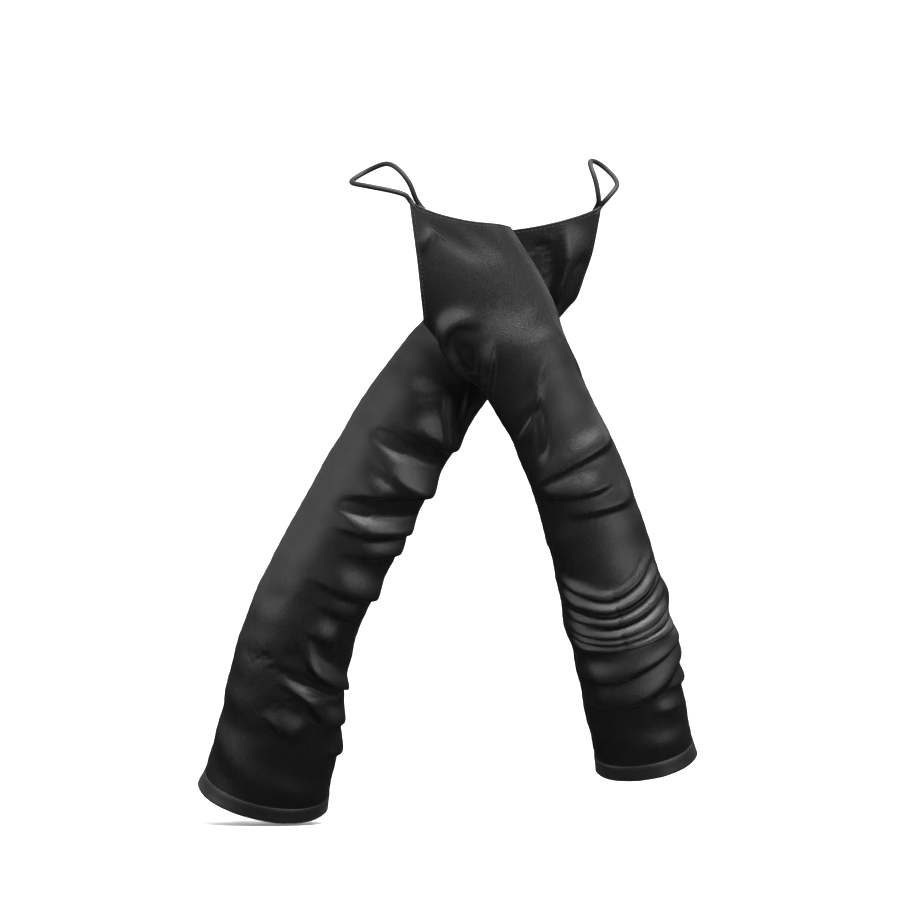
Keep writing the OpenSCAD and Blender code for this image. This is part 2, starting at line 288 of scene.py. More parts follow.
def flat_place(glove, t, angle):
    """Where a place on the sleeve lies on the flat cloth, in millimetres."""
    return np.stack([np.asarray(t, float) * glove["pitch"], np.radians(angle) * FLAT_RADIUS], -1)


def fold_lift(glove, t, angle, fold):
    """How far one fold lifts each place, and how far it slumps towards the arm end."""
    height, width, points = fold
    line = flat_place(glove, *smooth_line(points).T)
    pieces = np.linalg.norm(np.diff(line, axis=0), axis=1)
    run = np.append(0, np.cumsum(pieces))
    taper = min(FOLD_TAPER, run[-1] / SHORT_TAPER)
    lift, slump = np.zeros(t.shape), np.zeros(t.shape)
    for turn in (-360, 0, 360):
        place = flat_place(glove, t, angle + turn)
        nearest = np.full(t.shape, np.inf)
        side, where = np.zeros(t.shape), np.zeros(t.shape)
        for k in range(len(pieces)):
            step = line[k + 1] - line[k]
            share = np.clip(((place - line[k]) @ step) / max(step @ step, 1e-9), 0, 1)
            off = place - line[k] - share[..., None] * step
            distance = np.linalg.norm(off, axis=-1)
            closer = distance < nearest
            nearest = np.where(closer, distance, nearest)
            side = np.where(closer, off[..., 0], side)
            where = np.where(closer, run[k] + share * pieces[k], where)
        drooping = height > 0 and width < BROAD
        low, high = (STEEP_SIDE, SOFT_SIDE) if drooping else (1.0, 1.0)
        spread = width * np.where(side < 0, low, high)
        ends = np.clip(np.minimum(where, run[-1] - where) / taper, 0, 1)
        ends = ends * ends * (3 - 2 * ends)
        lift += height * np.exp(-(nearest / spread) ** 2) * ends
        if drooping:
            slump += SLUMP * height * np.exp(-(nearest / width) ** 2) * ends
    return lift, slump


def elbow_folds():
    """The nested folds at the right glove's elbow, each a little different from the last."""
    first, last = np.array(ELBOW_FIRST, float), np.array(ELBOW_LAST, float)
    folds = []
    for k in range(ELBOW_FOLDS):
        share = (k + PLACE_VARIES * math.sin(PLACE_BEAT * k)) / (ELBOW_FOLDS - 1)
        height = ELBOW_HEIGHT + ELBOW_GROWTH * share + HEIGHT_VARIES * math.sin(HEIGHT_BEAT * k)
        folds.append((height, ELBOW_WIDTH, first + (last - first) * share))
    return folds


def unevenness(glove, t, angle):
    """The slight waves of loose cloth, long round the sleeve and short along it."""
    draw = np.random.default_rng(SEED)
    along, total = t * glove["pitch"], np.zeros(t.shape)
    for _ in range(WAVES):
        turns = draw.integers(-WAVE_TURNS, WAVE_TURNS + 1)
        length = draw.uniform(*WAVE_LENGTHS)
        phase = draw.uniform(0, 2 * math.pi)
        height = draw.uniform(*WAVE_HEIGHTS) * length / WAVE_LENGTHS[1]
        total += height * np.sin(2 * math.pi * along / length + turns * np.radians(angle) + phase)
    calm = 1 - HAND_CALM * np.clip(t - HAND_PLACE, 0, 1)
    return UNEVEN * calm * total / math.sqrt(WAVES)


def folded(name, t, angle, out=0.0):
    """The sleeve's surface with the listed folds started."""
    glove = GLOVES[name]
    rise = FOLD_RISE[name]
    folds = [(rise * height, width, points) for height, width, points in FOLDS[name]]
    if name == "right":
        folds += elbow_folds()
    lift, slump = sum(np.array(fold_lift(glove, t, angle, fold)) for fold in folds)
    lift += unevenness(glove, t, angle)
    surface = skin(glove, t, angle, out + np.maximum(lift, -DEEPEST))
    along = unit(skin(glove, t + 0.01, angle) - skin(glove, t - 0.01, angle))
    return surface - slump[..., None] * along


# --------------------------------------------------
# Cloth simulation
# --------------------------------------------------
SIM_ROWS = 151
SIM_COLUMNS = 72
SIM_SCALE = 0.01        # simulated at ten times the real size, in metres a millimetre
SIM_FRAMES = 26
SIM_GAP = 0.004         # the space kept between cloth and arm, in the simulation's metres
LENGTH_EASE = 0.015     # how much longer the cloth is cut than it lies,
EASE_STARTS = 2.4       # between these two section numbers,
EASE_ENDS = 7.5
EASE_RAMP = 1.5         # rising and falling over this many sections
ARM_ROWS = 80
ARM_COLUMNS = 48
ARM_LONGER = 1.02       # the arm reaches this many times as far as the sleeve,
ARM_GAP = 1.4           # and is this many millimetres thinner
END_HELD_ROWS = 6       # how hard the cloth is held where it starts: near both ends,
LOOSE_HOLD = 0.02       # on the forearm,
HAND_HOLD = 0.6         # over the hand past HAND_START,
HAND_START = 6.2
CUFF_HOLD = 0.5         # and at the cuff, less and less over CUFF_RAMP sections up to CUFF_END
CUFF_END = 3.0
CUFF_RAMP = 2.0
FURTHEST = 5.0          # no place settles further than this from where it starts
FINER_ALONG = 4         # twice halved
FINER_ROUND = 2         # once halved


def mesh_object(name, points, faces):
    """A new object with its mesh, in the scene."""
    mesh = bpy.data.meshes.new(name)
    mesh.from_pydata([tuple(p) for p in points], [], faces)
    obj = bpy.data.objects.new(name, mesh)
    bpy.context.scene.collection.objects.link(obj)
    return obj


def tube_faces(rows, columns, closed=True):
    """Faces over a grid of points, row after row, closed round the sleeve or not."""
    around = range(columns if closed else columns - 1)
    return [(i * columns + j, (i + 1) * columns + j,
             (i + 1) * columns + (j + 1) % columns, i * columns + (j + 1) % columns)
            for i in range(rows - 1) for j in around]


def cut_shape(t, start):
    """The sleeve's rest shape: as it starts, but a little longer between the cuff and the hand."""
    ease = LENGTH_EASE * np.clip((EASE_ENDS - t[1:]) / EASE_RAMP, 0, 1)
    ease = ease * np.clip((t[1:] - EASE_STARTS) / EASE_RAMP, 0, 1)
    steps = np.diff(start, axis=0) * (1 + ease[..., None])
    return np.concatenate([start[:1], start[:1] + np.cumsum(steps, 0)])


def settle(name, start, cut, arm, hold):
    """Lets a sleeve settle over the arm inside it, and returns its grid of points."""
    rows, columns = start.shape[:2]
    sleeve = mesh_object(name + "_sim", start.reshape(-1, 3) * SIM_SCALE, tube_faces(rows, columns))
    sleeve.shape_key_add(name="worn")
    key = sleeve.shape_key_add(name="cut")
    key.data.foreach_set("co", (cut.reshape(-1, 3) * SIM_SCALE).ravel())
    group = sleeve.vertex_groups.new(name="held")
    for index, weight in enumerate(hold.ravel()):
        group.add([index], float(weight), "REPLACE")
    inner = mesh_object(name + "_arm", arm.reshape(-1, 3) * SIM_SCALE,
                        tube_faces(arm.shape[0], arm.shape[1]))
    inner.modifiers.new("Collision", "COLLISION")
    inner.collision.thickness_outer = SIM_GAP
    inner.collision.cloth_friction = 4
    cloth = sleeve.modifiers.new("Cloth", "CLOTH")
    settings = cloth.settings
    settings.quality = 7
    settings.mass = 0.15
    settings.tension_stiffness = 30
    settings.compression_stiffness = 30
    settings.shear_stiffness = 12
    settings.bending_stiffness = 0.6
    settings.air_damping = 4
    settings.vertex_group_mass = "held"
    settings.pin_stiffness = 1
    settings.rest_shape_key = key
    settings.effector_weights.gravity = 0.06
    cloth.collision_settings.distance_min = SIM_GAP
    cloth.collision_settings.collision_quality = 3
    cloth.point_cache.frame_start = 1
    cloth.point_cache.frame_end = SIM_FRAMES
    scene = bpy.context.scene
    for number in range(1, SIM_FRAMES + 1):
        scene.frame_set(number)
    settled = sleeve.evaluated_get(bpy.context.evaluated_depsgraph_get()).to_mesh()
    points = np.zeros(len(settled.vertices) * 3)
    settled.vertices.foreach_get("co", points)
    for obj in (sleeve, inner):
        mesh = obj.data
        bpy.data.objects.remove(obj)
        bpy.data.meshes.remove(mesh)
    scene.frame_set(1)
    return points.reshape(start.shape) / SIM_SCALE


def halved(values, axis, closed):
    """Puts a smooth value half way between each two neighbours of a grid."""
    v = np.moveaxis(values, axis, 0)
    if closed:
        before, after, beyond = np.roll(v, 1, 0), np.roll(v, -1, 0), np.roll(v, -2, 0)
        middle = (9 * (v + after) - before - beyond) / 16
        out = np.empty((2 * len(v), *v.shape[1:]))
        out[0::2], out[1::2] = v, middle
    else:
        padded = np.concatenate([2 * v[:1] - v[1:2], v, 2 * v[-1:] - v[-2:-1]])
        middle = (9 * (v[:-1] + v[1:]) - padded[:-3] - padded[3:]) / 16
        out = np.empty((2 * len(v) - 1, *v.shape[1:]))
        out[0::2], out[1::2] = v, middle
    return np.moveaxis(out, 0, axis)


def sleeve_surface(name):
    """The settled sleeve, as a fine grid of points in metres with its places on the flat cloth."""
    glove = GLOVES[name]
    rows, columns = FINER_ALONG * (SIM_ROWS - 1) + 1, FINER_ROUND * SIM_COLUMNS
    fine_t, fine_angle = grid_places(glove, rows, columns)
    fine = folded(name, fine_t, fine_angle, START_OUT)
    t, angle = grid_places(glove, SIM_ROWS, SIM_COLUMNS)
    start = folded(name, t, angle, START_OUT)
    arm_t, arm_angle = grid_places(glove, ARM_ROWS, ARM_COLUMNS)
    arm = skin(glove, arm_t * ARM_LONGER, arm_angle, -ARM_GAP)
    ends = np.minimum(np.arange(SIM_ROWS), np.arange(SIM_ROWS)[::-1])[:, None]
    hold = np.clip(1 - ends / END_HELD_ROWS, 0, 1) ** 2 * np.ones(t.shape)
    hold = np.maximum(hold, LOOSE_HOLD + HAND_HOLD * np.clip(t - HAND_START, 0, 1))
    hold = np.maximum(hold, CUFF_HOLD * np.clip((CUFF_END - t) / CUFF_RAMP, 0, 1))
    moved = settle(name, start, cut_shape(t, start), arm, hold) - start
    far = np.linalg.norm(moved, axis=-1, keepdims=True)
    moved = moved * np.minimum(1, FURTHEST / np.maximum(far, 1e-6))
    fine = fine + halved(halved(halved(moved, 0, False), 0, False), 1, True)
    return fine * MM, fine_t, fine_angle


for glove in GLOVES.values():
    glove["spine"] = spine(glove)
    centres = glove["spine"][0][1:-1, :3]
    glove["pitch"] = float(np.linalg.norm(np.diff(centres, axis=0), axis=1).mean())


# --------------------------------------------------
# Building on the settled surface. From here on, lengths are in metres.
# --------------------------------------------------
CLOTH_THICK = 0.5 * MM
STITCH_PITCH = 2.75 * MM
STITCH_LENGTH = 1.9 * MM
STITCH_INSET = 1.9 * MM
OUTER_STITCH_OUT = 0.1 * MM
INNER_STITCH_OUT = -1.28 * MM
HEM_STITCH_PITCH = 2.6 * MM
HEM_STITCH_LENGTH = 1.8 * MM
HEM_STITCH_DROP = 0.35 * MM
HEM_STITCH_OUT = 0.12 * MM
THREAD_R = 0.22 * MM

# However steeply the hand's edge runs across a column, it isn't counted as steeper than this
STEEPEST = 0.28

# Beside a seam, in millimetres: how deep and wide its groove is, and how high, how long and how far
# out the puckers are, whose length drifts slowly along the seam
GROOVE_DEPTH = 0.5
GROOVE_WIDTH = 1.1
PUCKER_HEIGHT = 0.16
PUCKER_LENGTH = 1.15
PUCKER_REACH = 3.2
PUCKER_DRIFT = 1.7
DRIFT_LENGTH = 9.0


def shade_smooth(obj):
    """Shades all of an object's faces smoothly."""
    for polygon in obj.data.polygons:
        polygon.use_smooth = True


def finish_piece(obj, node, material):
    """Gives a finished piece its name, its look, its body and the CAD node that it stands for."""
    obj.name = node + "_piece"
    obj.data.materials.clear()
    obj.data.materials.append(material)
    shade_smooth(obj)
    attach(obj, node.split("_")[0] + "_glove")
    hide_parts(node)
    return obj


def write_uv(mesh, places):
    """Lays each corner of each face at its vertex's place on the flat cloth."""
    layer = mesh.uv_layers.new(name="cloth")
    index = np.zeros(len(mesh.loops), int)
    mesh.loops.foreach_get("vertex_index", index)
    layer.data.foreach_set("uv", places[index].ravel())


class Sleeve:
    """One settled sleeve: rows from the arm end to the hand's edge, columns round it."""

    def __init__(self, name):
        self.name = name
        self.glove = GLOVES[name]
        self.points, self.t, self.angle = sleeve_surface(name)
        self.rows, self.columns = self.t.shape
        self.pull_seams()
        around = np.roll(self.points, -1, 1) - np.roll(self.points, 1, 1)
        self.normals = unit(np.cross(np.gradient(self.points, axis=0), around))
        steps = np.linalg.norm(np.diff(self.points, axis=0), axis=-1)
        self.run = np.concatenate([np.zeros((1, self.columns)), np.cumsum(steps, 0)])

    def pull_seams(self):
        """Draws the cloth in along the two seams, with small puckers beside them."""
        base = skin(self.glove, self.t, self.angle) * MM
        out = unit(skin(self.glove, self.t, self.angle, 1.0) * MM - base)
        off_seam = np.abs((self.angle + 90) % 180 - 90) * math.radians(1) * FLAT_RADIUS
        length = self.t * self.glove["pitch"]
        turn = length / PUCKER_LENGTH + PUCKER_DRIFT * np.sin(length / DRIFT_LENGTH)
        pucker = PUCKER_HEIGHT * np.sin(turn) * np.exp(-off_seam / PUCKER_REACH)
        groove = -GROOVE_DEPTH * np.exp(-(off_seam / GROOVE_WIDTH) ** 2)
        self.points += out * ((groove + pucker * np.minimum(1, off_seam))[..., None] * MM)

    def column(self, j, down, out):
        """A point on a column, down from the hand's edge, and out from the cloth."""
        back = self.run[-1, j] - self.run[::-1, j]
        at = np.array([np.interp(down, back, self.points[::-1, j, k]) for k in range(3)])
        normal = unit(np.array([np.interp(down, back, self.normals[::-1, j, k]) for k in range(3)]))
        return at + out * normal, normal

    def edge_slant(self):
        """How far down each column a line lies that is one unit inside the hand's edge."""
        edge = self.points[-1]
        along = unit(self.points[-1] - self.points[-5])
        ahead = unit(np.roll(edge, -1, 0) - edge)
        behind = np.roll(ahead, 1, 0)
        square = [np.linalg.norm(np.cross(along, tangent), axis=-1) for tangent in (ahead, behind)]
        return 1 / np.clip(np.minimum(*square), STEEPEST, 1)


def panel(sleeve, name, first, last, material):
    """Half of the sleeve, from one seam to the other."""
    columns = [(first + k) % sleeve.columns for k in range(last - first + 1)]
    points = sleeve.points[:, columns]
    obj = mesh_object(name, points.reshape(-1, 3), tube_faces(sleeve.rows, len(columns), False))
    across = np.radians(np.arange(first, last + 1) * 360.0 / sleeve.columns) * FLAT_RADIUS * MM
    down = sleeve.t[:, columns] * sleeve.glove["pitch"] * MM
    places = np.stack([np.broadcast_to(across, down.shape), down], -1).reshape(-1, 2)
    write_uv(obj.data, places)
    solid = obj.modifiers.new("Thickness", "SOLIDIFY")
    solid.thickness = CLOTH_THICK
    solid.offset = -1
    apply_modifiers(obj)
    return finish_piece(obj, name, material)


def apply_modifiers(obj):
    """Leaves the object with plain mesh in place of its modifiers."""
    depsgraph = bpy.context.evaluated_depsgraph_get()
    mesh = bpy.data.meshes.new_from_object(obj.evaluated_get(depsgraph), depsgraph=depsgraph)
    old = obj.data
    obj.modifiers.clear()
    obj.data = mesh
    bpy.data.meshes.remove(old)


def ring_faces(rows, profile, closed_rows, closed_profile=True):
    """Faces over a loft: one profile for each row."""
    faces = []
    for i in range(rows if closed_rows else rows - 1):
        for k in range(profile if closed_profile else profile - 1):
            n, m = (i + 1) % rows, (k + 1) % profile
            faces.append((i * profile + k, i * profile + m, n * profile + m, n * profile + k))
    if not closed_rows:
        faces.append(tuple(range(profile - 1, -1, -1)))
        faces.append(tuple((rows - 1) * profile + k for k in range(profile)))
    return faces


# The arm hem's section: height above its lower edge, and how far it stands out, in millimetres
HEM_SECTION = [
    (10.6, -0.15), (10.0, 0.05), (9.4, 0.4), (8.4, 0.65), (6.6, 0.75), (4.6, 0.8), (2.8, 0.95),
    (1.4, 1.15), (0.6, 1.15), (0.1, 0.8), (0.0, 0.3), (0.3, -0.25), (1.2, -0.5), (2.4, -0.6),
    (5.0, -0.7), (8.0, -0.85), (11.0, -1.05), (11.4, -0.85), (11.2, -0.6),
]
HEM_WAVES = ((0.12, 5, 1), (0.08, 11, 0))   # height, how many round the hem, and phase
HEM_PUCKER = 0.1
PUCKER_TURN = 1.9       # how far the pucker's wave turns from one column to the next,
PUCKER_SHIFT = 0.7      # and how far the drift of its phase does
PUCKER_START = 0.6      # as a share of the hem's depth
FLARE_BEND = 1.4
HEM_FLAT_RADIUS = 36.0


def arm_hem(sleeve, material):
    """The band folded up round the arm end, a little fuller on one side."""
    glove = sleeve.glove
    axis = glove["spine"][1]
    top = sleeve.points[0]
    ahead = np.roll(top, -1, 0) - np.roll(top, 1, 0)
    out = unit(np.cross(axis, ahead))
    angles = sleeve.angle[0]
    rows = []
    for j, angle in enumerate(angles):
        wave = sum(size * math.sin(math.radians(angle) * turns + phase) for size, turns, phase in HEM_WAVES)
        flare = glove["flare"] * max(0.0, math.cos(math.radians(angle - glove["flare_angle"])))
        for height, stand in HEM_SECTION:
            low = 1 - min(1, height / HEM_DEPTH)
            high = max(0.0, height / HEM_DEPTH - PUCKER_START)
            pucker = HEM_PUCKER * math.sin(j * PUCKER_TURN + math.sin(j * PUCKER_SHIFT)) * high
            at = top[j] - (HEM_DEPTH - height) * MM * axis
            rows.append(at + (stand + wave * low + flare * low ** FLARE_BEND + pucker) * MM * out[j])
    profile = len(HEM_SECTION)
    obj = mesh_object(sleeve.name + "_arm_hem", rows, ring_faces(sleeve.columns, profile, True))
    run = np.append(0, np.cumsum(np.linalg.norm(np.diff(np.array(HEM_SECTION), axis=0), axis=1)))
    places = [(math.radians(a) * HEM_FLAT_RADIUS * MM, r * MM) for a in angles for r in run]
    write_uv(obj.data, np.array(places))
    return finish_piece(obj, sleeve.name + "_arm_hem", material)


# The hand edge's section: distance inside the edge, and height over the cloth, in millimetres
EDGE_SECTION = [
    (0.75, 0.03), (0.55, 0.14), (0.15, 0.2), (-0.25, 0.08), (-0.5, -0.25), (-0.5, -0.75),
    (-0.2, -1.1), (0.4, -1.22), (1.6, -1.2), (3.2, -1.15), (5.0, -1.1), (6.0, -1.02),
    (6.0, -0.75), (5.0, -0.6), (3.0, -0.58), (1.2, -0.56), (0.85, -0.3),
]


def hand_edge(sleeve, name, first, last, material):
    """The turned edge of one panel at the hand, folded in and lying against the cloth."""
    slant = sleeve.edge_slant()
    rows, places = [], []
    for index in range(first, last + 1):
        j = index % sleeve.columns
        away = unit(sleeve.points[-1, j] - sleeve.points[-5, j])
        for inside, out in EDGE_SECTION:
            down = inside * MM * (slant[j] if inside > 0 else 1)
            at, _ = sleeve.column(j, max(0, down), out * MM)
            rows.append(at + away * max(0, -down))
            places.append((math.radians(index * 360.0 / sleeve.columns) * FLAT_RADIUS * MM, inside * MM))
    faces = ring_faces(last - first + 1, len(EDGE_SECTION), False)
    obj = mesh_object(name, rows, faces)
    write_uv(obj.data, np.array(places))
    return finish_piece(obj, name, material)


# The seam allowances' section: degrees from the seam, and height over the cloth, in millimetres
SEAM_SECTION = [
    (-4, -0.62), (-2, -0.6), (0, -0.58), (2, -0.6), (4, -0.62),
    (4.2, -0.9), (2, -1.05), (0, -1.15), (-2, -1.05), (-4.2, -0.9),
]
SEAM_MM_A_DEGREE = 0.6


def seam(sleeve, name, angle, material):
    """The two panels' allowances, pressed flat inside the sleeve along one seam."""
    rows, places = [], []
    step = 360.0 / sleeve.columns
    for i in range(2, sleeve.rows - 1):
        for around, out in SEAM_SECTION:
            place = (angle + around) / step
            j, share = int(math.floor(place)), place - math.floor(place)
            a, b = j % sleeve.columns, (j + 1) % sleeve.columns
            at = sleeve.points[i, a] * (1 - share) + sleeve.points[i, b] * share
            normal = sleeve.normals[i, a] * (1 - share) + sleeve.normals[i, b] * share
            rows.append(at + normal * out * MM)
            places.append((around * SEAM_MM_A_DEGREE * MM, sleeve.run[i, a]))
    obj = mesh_object(name, rows, ring_faces(sleeve.rows - 3, len(SEAM_SECTION), False))
    write_uv(obj.data, np.array(places))
    return finish_piece(obj, name, material)


# A stitch's rise over the cloth at even steps along it, in thread radii
STITCH_RISE = [-1.2, -0.1, 0.7, 0.9, 0.7, -0.1, -1.2]
STITCH_SIDES = 6
STITCH_END = 0.55       # how thick a stitch is where it goes into the cloth


def stitch_object(name, stitches, radius):
    """One mesh of many stitches, each from a start to an end with the cloth's normal."""
    points, faces = [], []
    for start, end, normal in stitches:
        run = end - start
        across = unit(np.cross(run, normal))
        first = len(points)
        rings = len(STITCH_RISE)
        for k, rise in enumerate(STITCH_RISE):
            share = k / (rings - 1)
            size = radius * (STITCH_END if k in (0, rings - 1) else 1)
            centre = start + run * share + normal * rise * radius
            for side in range(STITCH_SIDES):
                turn = 2 * math.pi * side / STITCH_SIDES
                points.append(centre + size * (math.cos(turn) * across + math.sin(turn) * normal))
        faces += [tuple(first + v for v in face) for face in ring_faces(rings, STITCH_SIDES, False)]
    return mesh_object(name, points, faces)


def even_stitches(line, normals, pitch, length):
    """Stitches at an even pitch along a line on the cloth."""
    pieces = np.linalg.norm(np.diff(line, axis=0), axis=1)
    run = np.append(0, np.cumsum(pieces))
    count = int((run[-1] - length) / pitch)
    stitches = []
    for k in range(count + 1):
        a = (run[-1] - count * pitch - length) / 2 + k * pitch
        start, end = (np.array([np.interp(x, run, line[:, c]) for c in range(3)]) for x in (a, a + length))
        normal = unit(np.array([np.interp(a + length / 2, run, normals[:, c]) for c in range(3)]))
        stitches.append((start, end, normal))
    return stitches


def edge_stitching(sleeve, name, first, last, material):
    """Topstitching round the hand opening, seen on both faces of the turned edge."""
    slant = sleeve.edge_slant()
    stitches = []
    for out in (OUTER_STITCH_OUT, INNER_STITCH_OUT):
        line, normals = [], []
        for index in range(first, last + 1):
            j = index % sleeve.columns
            at, normal = sleeve.column(j, STITCH_INSET * slant[j], out)
            line.append(at)
            normals.append(normal * (1 if out > 0 else -1))
        stitches += even_stitches(np.array(line), np.array(normals), STITCH_PITCH, STITCH_LENGTH)
    obj = stitch_object(name, stitches, THREAD_R)
    return finish_piece(obj, name, material)


def hem_stitching(sleeve, material):
    """Small stitches round the waist where the hem is sewn to the sleeve."""
    axis = sleeve.glove["spine"][1]
    ring = np.concatenate([sleeve.points[0], sleeve.points[0, :1]])
    ahead = np.roll(sleeve.points[0], -1, 0) - np.roll(sleeve.points[0], 1, 0)
    out = unit(np.cross(axis, ahead))
    out = np.concatenate([out, out[:1]])
    line = ring - HEM_STITCH_DROP * axis + out * HEM_STITCH_OUT
    stitches = even_stitches(line, out, HEM_STITCH_PITCH, HEM_STITCH_LENGTH)
    name = sleeve.name + "_hem_stitching"
    return finish_piece(stitch_object(name, stitches, THREAD_R), name, material)


# The bar tack's stitches: how many, how far the first lies from the edge, how far apart they are,
# how long half of one is and how much that varies, how much each slants, and how far out of the
# cloth those on its two faces lie, in millimetres
TACK_STITCHES = 9
TACK_START = 2.6
TACK_PITCH = 0.34
TACK_HALF = 1.5
TACK_VARIES, TACK_BEAT = 0.12, 2.1
TACK_SLANT = 0.17
TACK_FACES = ((0.12, 1), (-1.5, -1))
TACK_THREAD = 0.9


def bar_tack(sleeve, material):
    """Close stitches across the point, over the loop's ends, on both faces."""
    j = int(round(sleeve.glove["point_angle"] * sleeve.columns / 360.0))
    stitches = []
    for out, face in TACK_FACES:
        for k in range(TACK_STITCHES):
            down = (TACK_START + TACK_PITCH * k) * MM
            at, normal = sleeve.column(j, down, out * MM)
            beside, _ = sleeve.column((j + 1) % sleeve.columns, down, out * MM)
            across = unit(beside - at)
            along = unit(np.cross(normal, across)) * TACK_SLANT * MM
            half = (TACK_HALF + TACK_VARIES * math.sin(TACK_BEAT * k)) * MM
            stitches.append((at - across * half - along, at + across * half + along, normal * face))
    name = sleeve.name + "_bar_tack"
    obj = stitch_object(name, stitches, THREAD_R * TACK_THREAD)
    return finish_piece(obj, name, material)


# --------------------------------------------------
# Finger loops
# --------------------------------------------------
LOOP_D = 3.4 * MM
LOOP_SIDES = 16
LOOP_STEPS = 6
LOOP_SOFTENING = 26     # how many times its bends are smoothed
NEAR_POINT = 9.9        # a section number just below the point
# The sewn-in ends of each loop, under the cloth, in millimetres
LOOP_TAILS = {
    "left": [
        [(208.2, -68.6, 368.6), (210.0, -69.4, 372.4), (211.6, -72.2, 375.0)],
        [(214.4, -73.3, 375.6), (212.4, -71.7, 373.2), (210.9, -71.4, 370.2), (209.6, -71.4, 367.4)],
    ],
    "right": [
        [(102.2, -120.8, 369.4), (99.6, -120.9, 372.4), (97.2, -122.2, 375.8)],
        [(92.2, -122.6, 376.8), (94.6, -121.1, 374.0), (96.2, -120.8, 370.6), (98.2, -120.8, 367.2)],
    ],
}


def tube(name, line, radius):
    """A round tube swept along a line, closed at both ends."""
    tangents = unit(np.gradient(line, axis=0))
    side = unit(np.cross(tangents[0], [0.3, 0.9, 0.2]))
    points = []
    for at, tangent in zip(line, tangents):
        side = unit(side - tangent * (side @ tangent))
        up = np.cross(tangent, side)
        for k in range(LOOP_SIDES):
            turn = 2 * math.pi * k / LOOP_SIDES
            points.append(at + radius * (math.cos(turn) * side + math.sin(turn) * up))
    return mesh_object(name, points, ring_faces(len(line), LOOP_SIDES, False))


def finger_loop(name, material):
    """The cord loop at one glove's point, its ends running in past the bar tack."""
    glove = GLOVES[name]
    start_tail, end_tail = LOOP_TAILS[name]
    route = np.array([*start_tail, *glove["loop_route"], *end_tail], float) * MM
    line = smooth_line(route, LOOP_STEPS)
    for _ in range(LOOP_SOFTENING):
        line[1:-1] = (line[:-2] + 2 * line[1:-1] + line[2:]) / 4
    obj = tube(name + "_finger_loop_piece", line, LOOP_D / 2)
    run = np.append(0, np.cumsum(np.linalg.norm(np.diff(line, axis=0), axis=1)))
    places = [(k / LOOP_SIDES * math.pi * LOOP_D, r) for r in run for k in range(LOOP_SIDES)]
    write_uv(obj.data, np.array(places))
    obj.data.materials.append(material)
    shade_smooth(obj)
    point = skin(glove, edge_t(glove, np.array([glove["point_angle"]])), glove["point_angle"])[0] * MM
    along = unit(point - skin(glove, NEAR_POINT, glove["point_angle"]) * MM)
    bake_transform(obj)
    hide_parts(name + "_finger_loop")
    return obj


# --------------------------------------------------
# Materials
# --------------------------------------------------
# Each cloth: its darker and lighter tone, its roughness, the width of its threads in millimetres,
# how strong its grain is, its sheen and its anisotropy
CLOTHS = {
    "satin": {
        "dark": (0.0022, 0.0018, 0.0017), "light": (0.0042, 0.0036, 0.0034), "roughness": 0.41,
        "thread_mm": 0.5, "grain": 0.5, "sheen": 0.01, "anisotropy": 0.75,
    },
    "hem_satin": {
        "dark": (0.003, 0.0026, 0.0025), "light": (0.0055, 0.0048, 0.0046), "roughness": 0.44,
        "thread_mm": 0.5, "grain": 0.5, "sheen": 0.03,
    },
    "seam_satin": {
        "dark": (0.003, 0.0028, 0.0028), "light": (0.005, 0.0047, 0.0047), "roughness": 0.5,
        "thread_mm": 0.5, "grain": 0.4, "sheen": 0.02,
    },
    "loop_cord": {
        "dark": (0.0025, 0.0022, 0.0022), "light": (0.005, 0.0045, 0.0045), "roughness": 0.5,
        "thread_mm": 0.35, "grain": 0.6, "sheen": 0.02,
    },
}
ROUGHNESS_VARIES = 0.05 # both ways, with the grain
FLOAT_LENGTH = 7        # how many times longer than wide the satin's threads lie on top
CLOTH_SPECULAR = 0.5
SHEEN_ROUGHNESS = 0.4
GRAIN_SCALE = 1600
TONE_SCALE = 26
FINE_BUMP = 0.22 * MM
COARSE_BUMP = 0.36 * MM


def new_material(name):
    """A material with its nodes, its links and its shader."""
    material = bpy.data.materials.new(name)
    material.use_nodes = True
    nodes, links = material.node_tree.nodes, material.node_tree.links
    shader = nodes["Principled BSDF"]
    return material, nodes, links, shader


def add_noise(nodes, links, place, scale, detail=2):
    """A noise pattern over the given places."""
    noise = nodes.new("ShaderNodeTexNoise")
    noise.inputs["Scale"].default_value = scale
    noise.inputs["Detail"].default_value = detail
    links.new(place, noise.inputs["Vector"])
    return noise.outputs["Fac"]


def add_tones(nodes, links, shader, pattern, dark, light):
    """Varies the shader's colour between two tones."""
    tone = nodes.new("ShaderNodeMix")
    tone.data_type = "RGBA"
    tone.inputs["A"].default_value = (*dark, 1)
    tone.inputs["B"].default_value = (*light, 1)
    links.new(pattern, tone.inputs["Factor"])
    links.new(tone.outputs["Result"], shader.inputs["Base Color"])


def add_bump(nodes, links, pattern, distance, strength=1.0):
    """A slight relief from a pattern."""
    bump = nodes.new("ShaderNodeBump")
    bump.inputs["Strength"].default_value = strength
    bump.inputs["Distance"].default_value = distance
    links.new(pattern, bump.inputs["Height"])
    return bump


